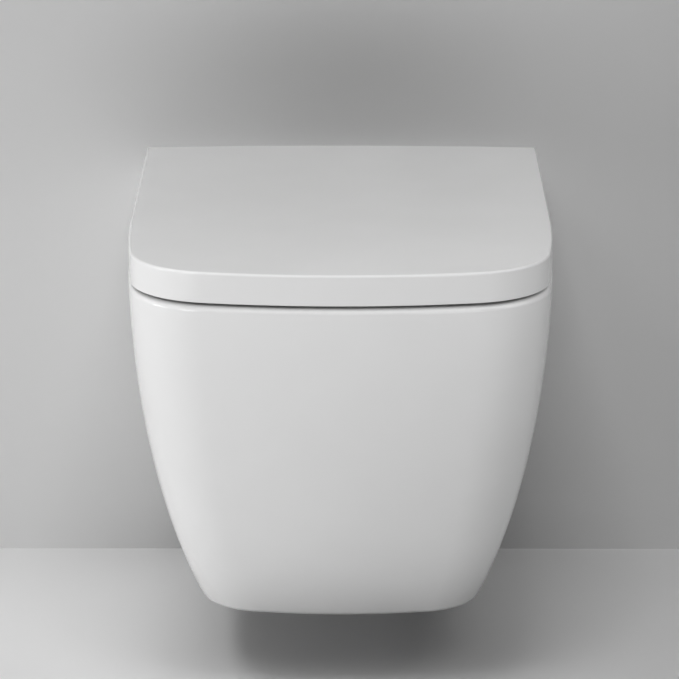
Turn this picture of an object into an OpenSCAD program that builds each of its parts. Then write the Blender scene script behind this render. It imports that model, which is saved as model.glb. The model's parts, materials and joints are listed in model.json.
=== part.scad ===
// Wall-hung toilet: a rimless vitreous china pan, a seat and a wrap-over lid.
// The origin lies on the wall, midway between the two wall fixings.
// The wall is the plane y = 0, the pan reaches out towards -Y, and +Z is up.

/* [Pan] */
// Width of the pan at its rim
pan_w = 372; // [340:1:400]
// How far the pan reaches out from the wall
pan_reach = 540; // [500:1:600]
// Height from the underside to the top of the rim
pan_h = 343; // [320:1:370]
// Height of the rim above the wall fixings
rim_up = 80; // [70:1:95]
// Width of the underside at the wall
foot_w = 256; // [220:1:300]
// How far the underside reaches out from the wall
foot_reach = 343; // [310:1:380]
// Radius of the corners between the sides and the front
corner_r = 78; // [50:1:90]
// Radius of the front's wide curve
front_r = 615; // [500:10:900]
// Radius of the sides' slight curve
side_r = 1100; // [800:10:1400]
// Where the sides start to curve, measured back from the front
side_start = 190; // [180:5:240]
// Rounding of the outer edge of the rim
rim_edge_r = 5; // [3:0.5:7]
// Rounding of the edge of the underside
foot_edge_r = 9; // [6:0.5:12]
// Thickness of the china walls
china = 11; // [9:0.5:13]
// Thickness of the china under the hinges and along the rim
deck_t = 16; // [14:0.5:20]
// Thickness of the flat china land that bears on the wall
land_t = 14; // [10:1:20]
// How far the land reaches below the wall fixings
land_down = 36; // [30:1:44]

/* [Bowl and trap] */
// Width of the bowl's opening
bowl_w = 274; // [250:1:290]
// Length of the bowl's opening
bowl_l = 330; // [310:1:345]
// Width of the rim at the front of the bowl
rim_front = 45; // [40:1:55]
// Depth of the water seal in the trap
seal_depth = 50; // [50:1:60]
// Radius of the trap's passage at its lowest point
trap_r = 27; // [25:0.5:30]

/* [Plumbing] */
// Distance between the two wall fixings
fixing_gap = 180; // [170:1:230]
// Height of the flush inlet's axis above the wall fixings
inlet_up = 35; // [30:1:40]
// Radius of the flush inlet
inlet_r = 27.5; // [26:0.5:29]
// Depth of the flush inlet's round seat
inlet_depth = 45; // [35:1:55]
// Radius of the flush pipe that the inlet seal takes
flush_pipe_r = 22.5; // [20:0.5:24]
// Distance from the flush inlet down to the outlet
inlet_to_outlet = 135; // [130:1:140]
// Outer radius of the outlet horn
outlet_r = 51; // [49:0.5:53]
// Inner radius of the outlet horn
outlet_bore_r = 42; // [38:0.5:44]
// How far the horn's end lies in front of the wall
outlet_back = 5; // [2:0.5:10]

/* [Wall fixings] */
// Radius of the hole for the M12 wall stud
stud_hole_r = 6.2; // [6.1:0.1:6.5]
// Radius of the fixing block
block_r = 13.7; // [12:0.1:14.5]
// Length of the fixing block
block_l = 48; // [40:1:52]
// Radius of the clamp screw
clamp_r = 4; // [3:0.5:5]
// Distance from the wall to the clamp screw
clamp_back = 32; // [26:1:36]
// Radius of the hole in the skirt that the clamp screw is reached through
side_hole_r = 13; // [11:0.5:15]

/* [Seat and lid] */
// How far the lid's sides stand in from the pan's
lid_side_in = 0.7; // [0.5:0.1:3]
// Height of the lid's skirt
lid_h = 26.8; // [26:0.1:32]
// Gap between the rim and the lid's skirt
lid_gap = 2.9; // [2.5:0.1:4]
// Wall of the lid
lid_t = 4.5; // [4:0.1:4.6]
// How far the lid's top rises above its edge
lid_crown = 2; // [1:0.1:3]
// Rounding of the lid's top edge
lid_edge_r = 2.2; // [1.5:0.1:3]
// Gap between the seat and the inside of the lid's skirt
seat_inset = 2; // [1.5:0.1:4]
// Height of the seat's underside above the rim
seat_up = 4.4; // [4:0.1:5]
// Thickness of the seat ring
seat_t = 14.6; // [13.5:0.1:15]
// Width of the seat's opening
seat_open_w = 222; // [200:1:240]
// Length of the seat's opening
seat_open_l = 270; // [250:1:285]
// Where the seat's opening starts, measured back from the front
seat_open_front = 78; // [70:1:90]
// Where the seat's back edge lies, measured from the wall
seat_back = 88; // [84:1:94]
// Depth of the hollow under the seat
seat_hollow = 7; // [5:0.5:8]

/* [Hinges] */
// Distance from the wall to the hinge axis
axis_back = 62; // [58:1:66]
// Radius of the lid's round back edge, about the hinge axis
spine_r = 7.7; // [7.4:0.1:8]
// Thickness of the lid's round back edge
spine_t = 2; // [1.8:0.1:2.1]
// Distance between the two seat fixing holes
hinge_gap = 155; // [140:1:170]
// Radius of the seat fixing holes
hinge_hole_r = 7.5; // [6.5:0.5:8]
// Distance from the wall to the seat fixing holes
hinge_hole_back = 52; // [48:1:54]
// Width of a hinge post's eye
eye_w = 11; // [9:0.5:13]
// Radius of a hinge post's eye
eye_r = 5; // [4.5:0.1:5.2]
// Radius of the hinge barrels
barrel_r = 5.4; // [5:0.1:5.4]
// Length of the hinge barrels
barrel_l = 44; // [40:1:48]
// Radius of the pivot pins and of the damper shafts
pin_r = 2.5; // [2:0.1:2.6]
// Radius of the soft-close dampers
damper_r = 3.5; // [3.3:0.1:3.7]
// Length of the soft-close dampers
damper_l = 36; // [30:1:38]
// Radius of the cover discs under the posts
rosette_r = 20; // [18:0.5:24]
// Thickness of the cover discs
rosette_t = 2.5; // [2:0.1:2.6]
// Radius of the bolts that hold the posts
bolt_r = 3; // [2.5:0.5:3.5]

/* [Fits] */
// Radial clearance of a pin or shaft in its hole
run_fit = 0.05; // [0.03:0.01:0.09]
// Gap between pieces that pass or rest near each other
near_fit = 0.3; // [0.25:0.05:0.5]

/* [Hidden] */
$fn = 48;

// Levels and places that several pieces share
lid_half = pan_w / 2 - lid_side_in;
foot_z = rim_up - pan_h;
outlet_z = inlet_up - inlet_to_outlet;
lid_edge_z = rim_up + lid_gap + lid_h;
axis_z = lid_edge_z - spine_r;
axis_y = -axis_back;
lid_under_z = lid_edge_z - lid_t;
seat_z = rim_up + seat_up;
seat_top_z = seat_z + seat_t;
eye_in = hinge_gap / 2 - eye_w / 2;
eye_out = hinge_gap / 2 + eye_w / 2;
hole_y = -hinge_hole_back;
past = 1;

// ---- forms that are lofted through rings ----

// Points of an arc about c, from angle a up to but not including angle b
function arc(c, r, a, b, n) =
    [for (i = [0:n - 1]) let (t = a + (b - a) * i / n) c + r * [cos(t), sin(t)]];

function turn(v) = atan2(v[1], v[0]);

// Centre of the corner arc, which touches the front arc and the side arc from inside
function corner_centre(c1, d1, c3, d3) =
    let (d = norm(c3 - c1), e = (c3 - c1) / d)
    let (t = (d1 * d1 - d3 * d3 + d * d) / (2 * d))
    c1 + e * t + [-e[1], e[0]] * sqrt(max(0, d1 * d1 - t * t));

// Right half of the plan outline, from the middle of the front to the straight side
function half_outline(half_w, reach, n) =
    let (k = half_w / lid_half)
    let (c1 = [0, front_r * k - reach], c3 = [half_w - side_r * k, side_start * k - reach])
    let (c2 = corner_centre(c1, (front_r - corner_r) * k, c3, (side_r - corner_r) * k))
    let (a1 = turn(c2 - c1), a2 = turn(c2 - c3))
    concat(
        arc(c1, front_r * k, -90, a1, n),
        arc(c2, corner_r * k, a1, a2, 2 * n),
        arc(c3, side_r * k, a2, 0, n),
        [[half_w, side_start * k - reach]]);

// Whole outline with a straight back edge, anticlockwise from above
function outline(half_w, reach, back, n) =
    let (h = half_outline(half_w, reach, n))
    concat(
        [[-half_w, -back]],
        [for (i = [len(h) - 1:-1:1]) [-h[i][0], h[i][1]]],
        h,
        [[half_w, -back]]);

// Oval between a front and a back, blunter than an ellipse for a power over 2
function oval(half_w, front, back, power, n) =
    [for (i = [0:n - 1])
        let (t = 360 * i / n, c = cos(t), s = sin(t))
        [half_w * sign(c) * pow(abs(c), 2 / power),
         (front + back) / 2 + (back - front) / 2 * sign(s) * pow(abs(s), 2 / power)]];

function lift(ring, z) = [for (p = ring) [p[0], p[1], z]];

// Closed form through rings that are listed from the lowest up
module loft(rings) {
    n = len(rings[0]);
    last = (len(rings) - 1) * n;
    polyhedron(
        points = [for (r = rings) for (p = r) p],
        faces = concat(
            [[for (j = [0:n - 1]) j]],
            [for (i = [0:len(rings) - 2]) for (j = [0:n - 1]) for (f = [0, 1])
                let (a = i * n + j, b = i * n + (j + 1) % n)
                f == 0 ? [a, a + n, b + n] : [a, b + n, b]],
            [[for (j = [n - 1:-1:0]) last + j]]));
}

// ---- pan ----

// Depth below the rim, from 0 at the rim to 1 at the underside
function depth(z) = (rim_up - z) / pan_h;

// Half width and reach of the skirt at a height
function skirt_half(z) = pan_w / 2 - (pan_w - foot_w) / 2 * pow(depth(z), 1.66);
function skirt_reach(z) = pan_reach - (pan_reach - foot_reach) * pow(depth(z), 2.29);

// Ring of the skirt at a height, drawn in by inset, with its back edge at back
function skirt_ring(z, inset, back) =
    lift(outline(skirt_half(z) - inset, skirt_reach(z) - inset, back, 5), z);

skirt_levels = [for (t = [0.92, 0.84, 0.75, 0.66, 0.56, 0.45, 0.33, 0.2, 0.09]) rim_up - t * pan_h];

module skirt() {
    loft(concat(
        [for (a = [0, 30, 60])
            let (z = foot_z + foot_edge_r * (1 - cos(a)))
            skirt_ring(z, foot_edge_r * (1 - sin(a)), 0)],
        [skirt_ring(foot_z + foot_edge_r, 0, 0)],
        [for (z = skirt_levels) skirt_ring(z, 0, 0)],
        [for (a = [90, 60, 30, 0])
            skirt_ring(rim_up - rim_edge_r * (1 - cos(a)), rim_edge_r * (1 - sin(a)), 0)]));
}

// Hollow of the skirt, open through the back
module skirt_hollow() {
    top = rim_up - deck_t;
    floor_z = foot_z + china;
    loft(concat(
        [skirt_ring(floor_z, china + 3, -past)],
        [for (z = skirt_levels) if (z > floor_z + 5 && z < top - 5) skirt_ring(z, china, -past)],
        [skirt_ring(top, china + 3, -past)]));
}

// Stations of the bowl: height, half width, front and back
weir_z = outlet_z - trap_r - 1;
dip_z = weir_z - seal_depth;
sump_z = dip_z - 2 * trap_r;
bowl_front = rim_front - pan_reach;
bowl_back = bowl_front + bowl_l;
bowl_stations = [
    [sump_z, 24, -276, -238],
    [sump_z + 8, 36, -294, -226],
    [dip_z - 14, 46, -314, -215],
    [dip_z + 8, 53, -332, -209],
    [weir_z, 66, -358, -203],
    [weir_z + 34, 84, -394, -196],
    [weir_z + 76, 104, -433, -186],
    [weir_z + 120, 119, -466, -175],
    [rim_up - 44, bowl_w / 2 - 6, bowl_front + 7, bowl_back - 2],
    [rim_up - 38, bowl_w / 2 + 3, bowl_front - 5, bowl_back + 4],
    [rim_up - 20, bowl_w / 2 + 4, bowl_front - 6, bowl_back + 5],
    [rim_up - 8, bowl_w / 2, bowl_front, bowl_back],
    [rim_up - 2, bowl_w / 2, bowl_front, bowl_back]];

// The bowl's surface, moved outwards by grow
module bowl(grow) {
    lowest = bowl_stations[0];
    mouth = rim_up + (grow > 0 ? -0.5 : past);
    loft(concat(
        [lift(oval(lowest[1] + grow * 0.6, lowest[2] - grow * 0.6, lowest[3] + grow * 0.6, 2.3, 28),
            lowest[0] - grow)],
        [for (s = bowl_stations)
            lift(oval(s[1] + grow, s[2] - grow, s[3] + grow, 2.3, 28), s[0] + (grow > 0 ? 1 : 0))],
        [lift(oval(bowl_w / 2 + 2 + grow, bowl_front - 2 - grow, bowl_back + 2 + grow, 2.3, 28), mouth)]));
}

// Stations of the trap, in from the sump, up over the weir and into the horn:
// distance from the wall, height and radius
trap_low = dip_z - trap_r;
trap_high = weir_z + trap_r + 1;
horn_l = 60;
trap_stations = [
    [264, trap_low, trap_r], [236, trap_low, trap_r], [212, trap_low + 3, trap_r],
    [193, trap_low + 12, trap_r], [178, trap_low + 27, trap_r], [167, trap_low + 46, trap_r],
    [156, trap_low + 68, trap_r], [145, trap_low + 88, trap_r], [129, trap_high - 3, trap_r],
    [112, trap_high, trap_r + 4], [92, outlet_z, outlet_bore_r - 4],
    [horn_l - 8, outlet_z, outlet_bore_r - 2]];

// The trap's tube, with its radius grown by grow and its last station at end
module trap(grow, end) {
    path = [for (s = trap_stations) [-s[0], s[1]]];
    last = len(path) - 1;
    loft([for (i = [0:last])
        let (d = path[min(last, i + 1)] - path[max(0, i - 1)], u = d / norm(d))
        let (p = i < last ? path[i] : [end, outlet_z], r = trap_stations[i][2] + grow)
        [for (j = [0:19]) [r * cos(18 * j), p[0] + r * sin(18 * j) * u[1], p[1] - r * sin(18 * j) * u[0]]]]);
}

// Round bar or hole along Y, from the nearer to the farther distance from the wall
module along_y(r, from, to) {
    translate([0, from, 0])
        rotate([90, 0, 0])
            cylinder(r = r, h = from - to);
}

// Sizes of the bosses and of the channel that leads the flush into the back of the bowl
channel_r = 21;
channel_end = bowl_back - 6;
boss_r = inlet_r + china - 2;
fixing_boss_r = block_r + near_fit + china - 2;
fixing_boss_l = block_l + 10;
rim_bottom = rim_up - deck_t;

// ---- pan: one casting, in six sections that meet face to face ----

// One section as a single faceted solid, kept at its size
module cast() {
    resize([0, 0, 0]) children();
}

// All that lies between two heights
module slab(low, high) {
    translate([-pan_w, -pan_reach - past, low])
        cube([2 * pan_w, pan_reach + 2 * past, high - low]);
}

module inlet_boss() {
    translate([0, 0, inlet_up]) along_y(boss_r, 0, -inlet_depth, $fn = 32);
}

// Land along the wall that the inlet and the wall fixings pass through
module land() {
    intersection() {
        skirt();
        translate([-pan_w / 2, -land_t, -land_down])
            cube([pan_w, land_t + past, land_down + rim_bottom]);
    }
}

// Skirt with its floor, the land and the bosses of the wall fixings, up to the rim
module pan_skirt() {
    color("white") difference() {
        cast() difference() {
            union() {
                difference() {
                    skirt();
                    skirt_hollow();
                    slab(rim_bottom, rim_up + past);
                }
                land();
                for (side = [-1, 1])
                    translate([side * fixing_gap / 2, 0, 0])
                        along_y(fixing_boss_r, -0.5, -fixing_boss_l, $fn = 32);
            }
            inlet_boss();
        }
        for (side = [-1, 1]) {
            translate([side * fixing_gap / 2, 0, 0]) along_y(block_r + near_fit, past, -4 - block_l);
            // passage of the clamp screw through the boss, and the side hole in the skirt
            translate([side * fixing_gap / 2, -clamp_back, 0])
                rotate([0, side * 90, 0])
                    cylinder(r = clamp_r + 0.7, h = fixing_boss_r + past);
            translate([side * (fixing_gap / 2 + fixing_boss_r + 4), -clamp_back, 0])
                rotate([0, side * 90, 0])
                    cylinder(r = side_hole_r, h = pan_w / 2);
        }
    }
}

// Rim around the bowl's mouth and deck behind it, with the seat fixing holes
module pan_rim() {
    color("white") difference() {
        cast() difference() {
            union() {
                intersection() {
                    skirt();
                    slab(rim_bottom, rim_up + past);
                }
                for (side = [-1, 1])
                    translate([side * hinge_gap / 2, hole_y, rim_bottom - 8])
                        cylinder(r = hinge_hole_r + 7, h = deck_t, $fn = 24);
            }
            bowl(0);
            inlet_boss();
        }
        for (side = [-1, 1])
            translate([side * hinge_gap / 2, hole_y, rim_bottom - 9])
                cylinder(r = hinge_hole_r, h = deck_t + 10);
    }
}

// Bowl below the rim, and the channel from the inlet's seat into its back
module pan_bowl() {
    color("white") cast() difference() {
        union() {
            bowl(china);
            translate([0, 0, inlet_up])
                along_y(channel_r + china - 2, -inlet_depth, channel_end, $fn = 32);
        }
        slab(rim_bottom, rim_up + past);
        bowl(0);
        trap(0, past - horn_l / 2);
        translate([0, 0, inlet_up])
            along_y(channel_r, past - inlet_depth, channel_end - 12, $fn = 32);
    }
}

module pan_trap() {
    color("white") cast() difference() {
        trap(china - 3, -horn_l);
        trap(0, past - horn_l / 2);
        bowl(china);
    }
}

// The flush inlet's round seat
module pan_inlet() {
    color("white") difference() {
        cast() inlet_boss();
        translate([0, 0, inlet_up]) along_y(inlet_r, past, -inlet_depth - past);
    }
}

module pan_horn() {
    color("white") translate([0, 0, outlet_z]) difference() {
        along_y(outlet_r, -outlet_back, -horn_l);
        along_y(outlet_bore_r, past, -horn_l - past);
    }
}

// ---- pan fittings ----

// Distributor: a sleeve in the flush channel, with a nozzle slot on each side of its head
distributor_r = channel_r - near_fit;

module flush_distributor() {
    color("gainsboro") translate([0, 0, inlet_up]) difference() {
        along_y(distributor_r, -inlet_depth - 2, channel_end + 2);
        along_y(distributor_r - 2.5, past - inlet_depth, channel_end + 5);
        for (side = [-1, 1])
            translate([side * distributor_r / 2, channel_end + 3, 0])
                cube([distributor_r * 0.7, 12, 9], center = true);
    }
}

module inlet_seal() {
    color("dimgray") translate([0, 0, inlet_up]) difference() {
        along_y(inlet_r - near_fit, -2, 1 - inlet_depth);
        along_y(flush_pipe_r, past, -inlet_depth);
        // grooves that leave three sealing lips
        for (y = [-14, -28])
            translate([0, y, 0])
                rotate([90, 0, 0])
                    difference() {
                        cylinder(r = inlet_r + past, h = 6);
                        translate([0, 0, -past])
                            cylinder(r = inlet_r - 2.5, h = 8);
                    }
    }
}

// Fixing block: it bears on the wall, and the pan is pushed over it
module fixing_block(side) {
    color("silver") difference() {
        translate([side * fixing_gap / 2, 0, 0]) along_y(block_r, 0, -block_l);
        translate([side * fixing_gap / 2, 0, 0]) along_y(stud_hole_r, past, -block_l - past);
        translate([side * fixing_gap / 2, -clamp_back, 0])
            rotate([0, side * 90, 0])
                cylinder(r = clamp_r + run_fit, h = block_r + past);
    }
}

module fixing_block_left() fixing_block(-1);
module fixing_block_right() fixing_block(1);

// Clamp screw: its point bears on the stud, and its head on the boss
module clamp_screws() {
    clamp_from = fixing_gap / 2 + stud_hole_r + 1;
    clamp_to = fixing_gap / 2 + fixing_boss_r + near_fit;
    color("silver") for (side = [-1, 1])
        translate([side * clamp_from, -clamp_back, 0])
            rotate([0, side * 90, 0]) difference() {
                union() {
                    cylinder(r = clamp_r, h = clamp_to - clamp_from + 1);
                    translate([0, 0, clamp_to - clamp_from])
                        cylinder(r = clamp_r + 3, h = 5);
                }
                translate([0, 0, clamp_to - clamp_from + 2])
                    cylinder(r = clamp_r - 1, h = 4, $fn = 6);
            }
}

// Cap of the side hole: a disc just inside the skirt's face, on a hollow stem
cap_face = skirt_half(side_hole_r) - 2;

module side_cap(side) {
    color("white") translate([side * cap_face, -clamp_back, 0])
        rotate([0, -side * 90, 0]) difference() {
            cylinder(r = side_hole_r - near_fit, h = china);
            translate([0, 0, 3])
                cylinder(r = side_hole_r - 2.5, h = china);
        }
}

module side_cap_left() side_cap(-1);
module side_cap_right() side_cap(1);

// ---- hinge posts and what holds them ----

post_z = rim_up + rosette_t;
post_t = 4;
post_r = 13;
neck_near = 2;
neck_far = 8;
bolt_head_t = 2.6;
nut_z = rim_up - 46;
nut_t = 8;

module at_hinges() {
    for (side = [-1, 1])
        translate([side * hinge_gap / 2, hole_y, 0]) children();
}

module hinge_rosette(side) {
    color("silver") translate([side * hinge_gap / 2, hole_y, rim_up]) difference() {
        union() {
            cylinder(r = rosette_r, h = rosette_t - 0.8);
            translate([0, 0, rosette_t - 0.8])
                cylinder(r1 = rosette_r, r2 = rosette_r - 0.8, h = 0.8);
        }
        translate([0, 0, -past])
            cylinder(r = bolt_r + 0.2, h = rosette_t + 2 * past);
    }
}

module hinge_rosette_left() hinge_rosette(-1);
module hinge_rosette_right() hinge_rosette(1);

// Round bar or hole along the hinge axis, between two distances from the middle
module on_axis(side, r, from, to) {
    translate([side * from, axis_y, axis_z])
        rotate([0, side * 90, 0])
            cylinder(r = r, h = to - from);
}

// Post: a foot under the bolt head, and a neck in front of the axis up to the eye
module hinge_post(side) {
    color("silver") difference() {
        union() {
            translate([side * hinge_gap / 2, hole_y, post_z])
                cylinder(r = post_r, h = post_t);
            translate([side * hinge_gap / 2 - eye_w / 2, axis_y - neck_far, post_z]) {
                cube([eye_w, hole_y - axis_y + neck_far, post_t]);
                cube([eye_w, neck_far - neck_near, axis_z - 1 - post_z]);
            }
            on_axis(side, eye_r, eye_in, eye_out);
        }
        translate([side * hinge_gap / 2, hole_y, post_z - past])
            cylinder(r = bolt_r + 0.2, h = post_t + 2 * past);
        on_axis(side, pin_r + run_fit, eye_in - past, eye_out + past);
    }
}

module hinge_post_left() hinge_post(-1);
module hinge_post_right() hinge_post(1);

module hinge_bolts() {
    color("silver") at_hinges() difference() {
        union() {
            translate([0, 0, nut_z])
                cylinder(r = bolt_r, h = post_z + post_t - nut_z + past);
            translate([0, 0, post_z + post_t])
                cylinder(r = bolt_r + 2, h = bolt_head_t);
        }
        translate([0, 0, post_z + post_t + 0.6])
            cylinder(r = bolt_r - 0.5, h = bolt_head_t, $fn = 6);
    }
}

module expansion_plugs() {
    color("dimgray") at_hinges() difference() {
        translate([0, 0, nut_z + nut_t])
            cylinder(r = hinge_hole_r - 0.2, h = rim_up - nut_z - nut_t);
        translate([0, 0, nut_z])
            cylinder(r = bolt_r + 0.2, h = rim_up - nut_z + past);
    }
}

module plug_nuts() {
    color("goldenrod") at_hinges() difference() {
        translate([0, 0, nut_z])
            cylinder(r1 = hinge_hole_r - 1.8, r2 = hinge_hole_r - 0.6, h = nut_t);
        translate([0, 0, nut_z - past])
            cylinder(r = bolt_r + run_fit, h = nut_t + 2 * past);
    }
}

// Each pin and shaft is held in its half of an eye and turns in a barrel or a damper
eye_mid = (eye_in + eye_out) / 2;
barrel_end = 0.5;
shaft_l = 14;

module lid_pivot_pin() {
    color("silver") on_axis(-1, pin_r, eye_in - barrel_l + 4, eye_mid - 0.2);
}

module seat_pivot_pin() {
    color("silver") on_axis(1, pin_r, eye_mid + 0.2, eye_out + barrel_l - 4);
}

module seat_damper_shaft() {
    color("silver") on_axis(-1, pin_r, eye_mid + 0.2, eye_out + shaft_l);
}

module lid_damper_shaft() {
    color("silver") on_axis(1, pin_r, eye_in - shaft_l, eye_mid - 0.2);
}

// ---- seat ----

seat_half = lid_half - lid_t - seat_inset;
seat_reach = pan_reach - lid_t - seat_inset;
seat_corner = 14;
open_front = seat_open_front - pan_reach;
open_mid = [0, open_front + seat_open_l / 2];

// Points between a and b, without b, so that no side is left as one long piece
function steps(a, b, n) = [for (i = [0:n - 1]) a + (b - a) * i / n];

// Outer edge of the seat, with round back corners
seat_edge =
    let (h = half_outline(seat_half, seat_reach, 4))
    let (last = h[len(h) - 1], c = [seat_half - seat_corner, -seat_back - seat_corner])
    let (right = concat(h, steps(last, [seat_half, c[1]], 5), arc(c, seat_corner, 0, 90, 4), [c + [0, seat_corner]],
        [for (i = [1:3]) [(seat_half - seat_corner) * (1 - i / 4), -seat_back]]))
    let (n = len(right))
    concat([[0, -seat_back]], [for (i = [n - 1:-1:1]) [-right[i][0], right[i][1]]], right);

// Point of the opening that lies in the direction of a point of the outer edge
function facing(p) =
    let (a = turn([(p[0] - open_mid[0]) / seat_open_w, (p[1] - open_mid[1]) / seat_open_l]))
    [seat_open_w / 2 * sign(cos(a)) * pow(abs(cos(a)), 0.87),
     open_mid[1] + seat_open_l / 2 * sign(sin(a)) * pow(abs(sin(a)), 0.87)];

// Section of the ring: distance from the outer edge, or where negative from the opening,
// and height above the underside
seat_section = [
    [0, 3], [0, seat_t - 3.5], [1.2, seat_t - 1.2], [3.8, seat_t], [-16, seat_t - 0.4],
    [-6, seat_t - 2.6], [-1.4, seat_t - 6.2], [-0.2, 3], [-2, 0], [-8, 0], [-9, seat_hollow],
    [9, seat_hollow], [8, 0], [1.6, 0]];

module seat_ring() {
    n = len(seat_edge);
    m = len(seat_section);
    polyhedron(
        points = [for (p = seat_edge)
            let (q = facing(p), u = (q - p) / norm(q - p))
            for (s = seat_section)
                let (xy = s[0] < 0 ? q + u * s[0] : p + u * s[0])
                [xy[0], xy[1], seat_z + s[1]]],
        faces = [for (i = [0:n - 1]) for (j = [0:m - 1]) for (f = [0, 1])
            let (a = i * m, b = (i + 1) % n * m, k = (j + 1) % m)
            f == 0 ? [a + j, b + k, b + j] : [a + j, a + k, b + k]]);
}

// Arm under the seat: its plate lies against the hollow's top
arm_t = 3;
arm_w = 34;
seat_arm_z = seat_z + seat_hollow - arm_t - 0.1;
seat_arm_mid = eye_out + barrel_end + barrel_l / 2;
seat_arm_end = seat_back + 52;
lid_arm_mid = eye_in - barrel_end - barrel_l / 2;
web_far = 12;
screw_r = 2;

module seat() {
    color("white") difference() {
        seat_ring();
        // notches in the back lip for the arms
        for (side = [-1, 1])
            translate([side * seat_arm_mid - arm_w / 2 - 1, -seat_back - 12, seat_z - past])
                cube([arm_w + 2, 12 + past, seat_hollow + past]);
    }
}

// The four buffers stand under the seat, two at the front and two at the back
buffer_r = 8;
seat_buffer_places = [[seat_open_w / 2 - 19, 55.5 - seat_reach], [seat_half - 28, -seat_back - 102]];

module seat_buffers() {
    color("gray") for (side = [-1, 1]) for (p = seat_buffer_places)
        translate([side * p[0], p[1], rim_up + 0.2]) {
            cylinder(r1 = buffer_r - 1, r2 = buffer_r, h = 1.5);
            translate([0, 0, 1.5])
                cylinder(r = buffer_r, h = seat_up + seat_hollow - 1.8);
        }
}

// Screw holes along an arm, as distances from the wall
seat_screws = [seat_back + 20, seat_back + 40];
lid_screws = [axis_back + 18, axis_back + 34];

module seat_hinge(side, bore_r) {
    color("dimgray") difference() {
        union() {
            on_axis(side, barrel_r, eye_out + barrel_end, eye_out + barrel_end + barrel_l);
            translate([side * seat_arm_mid - arm_w / 2, axis_y - web_far, 0]) {
                translate([0, 0, axis_z - 4])
                    cube([arm_w, web_far - 4.2, 6.9]);
                translate([0, 0, seat_arm_z])
                    cube([arm_w, web_far - 6.5, axis_z - 3 - seat_arm_z]);
                translate([0, axis_back + web_far - seat_arm_end, seat_arm_z])
                    cube([arm_w, seat_arm_end - axis_back, arm_t]);
            }
        }
        on_axis(side, bore_r, eye_out + barrel_end - past, eye_out + barrel_end + barrel_l - 3);
        for (y = seat_screws)
            translate([side * seat_arm_mid, -y, seat_arm_z - past])
                cylinder(r = screw_r + 0.2, h = arm_t + 2 * past);
    }
}

module seat_hinge_left() seat_hinge(-1, damper_r + run_fit);
module seat_hinge_right() seat_hinge(1, pin_r + run_fit);

module seat_hinge_screws() {
    color("silver") for (side = [-1, 1]) for (y = seat_screws)
        translate([side * seat_arm_mid, -y, seat_arm_z - 1.8]) difference() {
            union() {
                cylinder(r = screw_r + 2, h = 1.8);
                cylinder(r = screw_r, h = arm_t + 1.8);
            }
            translate([0, 0, -past])
                cylinder(r = 1.2, h = 2, $fn = 6);
        }
}

// Damper: a closed can that turns about the shaft in its open end
module damper(side, from, to) {
    color("dimgray") difference() {
        on_axis(side, damper_r, min(from, to), max(from, to));
        if (from < to)
            on_axis(side, pin_r + run_fit, from - past, from + shaft_l);
        else
            on_axis(side, pin_r + run_fit, from - shaft_l, from + past);
    }
}

module seat_damper() damper(-1, eye_out + 2, eye_out + 2 + damper_l);

// ---- lid ----

lid_low = rim_up + lid_gap;
crown_run = lid_half - 4;

// Height of the crown at a distance in from the lid's edge
function crown(d) = lid_crown * (1 - pow(1 - d / crown_run, 2));
function lid_ring(inset, z, back) = lift(outline(lid_half - inset, pan_reach - inset, back, 5), z);

// Outer form of the lid without its round back edge
module lid_body() {
    loft(concat(
        [lid_ring(0.8, lid_low, axis_back), lid_ring(0, lid_low + 0.8, axis_back)],
        [for (a = [0, 30, 60, 90])
            lid_ring(lid_edge_r * (1 - cos(a)), lid_edge_z - lid_edge_r * (1 - sin(a)), axis_back)],
        [for (t = [0.11, 0.27, 0.5, 0.73, 0.95])
            lid_ring(t * lid_half, lid_edge_z + crown(t * lid_half), axis_back)]));
}

// The back edge follows the crown from side to side
module lid_outside() {
    hull() {
        lid_body();
        for (x = [0, 0.35, 0.7, 0.95]) for (side = [-1, 1])
            translate([side * x * (lid_half - lid_edge_r), axis_y, axis_z])
                scale([1, 1, 1 + crown((1 - x) * lid_half) / spine_r])
                    rotate([0, 90, 0])
                        cylinder(r = spine_r, h = 0.5, center = true, $fn = 32);
        for (side = [-1, 1])
            translate([side * (lid_half - 1.5), axis_y, axis_z])
                rotate([0, 90, 0])
                    cylinder(r = spine_r - 0.5, h = 3, center = true, $fn = 32);
    }
}

module lid_inside() {
    loft([
        lid_ring(lid_t, lid_low - past, axis_back),
        lid_ring(lid_t, lid_under_z - 3, axis_back),
        lid_ring(lid_t + 3, lid_under_z, axis_back)]);
}

module lid() {
    inner_half = lid_half - lid_t;
    color("white") difference() {
        lid_outside();
        lid_inside();
        // hollow of the round back edge, open below
        translate([-inner_half, axis_y, axis_z])
            rotate([0, 90, 0])
                cylinder(r = spine_r - spine_t, h = 2 * inner_half);
        translate([-inner_half, axis_y - past, lid_low - past])
            cube([2 * inner_half, spine_r + 2 * past, axis_z - 1.5 - lid_low + past]);
        // notches for the posts
        for (side = [-1, 1])
            translate([side * hinge_gap / 2 - eye_w / 2 - 0.7, axis_y + 0.2, lid_low])
                cube([eye_w + 1.4, spine_r + past, lid_h + lid_crown + past]);
    }
}

lid_buffer_places = [[seat_open_w / 2 - 6, 59.5 - seat_reach], [seat_half - 18, -seat_back - 142]];

module lid_buffers() {
    color("gray") for (side = [-1, 1]) for (p = lid_buffer_places)
        translate([side * p[0], p[1], seat_top_z + 0.2])
            cylinder(r1 = buffer_r - 2, r2 = buffer_r - 1, h = lid_under_z - seat_top_z - 0.3);
}

lid_arm_l = 42;
lid_arm_t = 2.4;
lid_arm_z = lid_under_z - lid_arm_t - 0.1;

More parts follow.
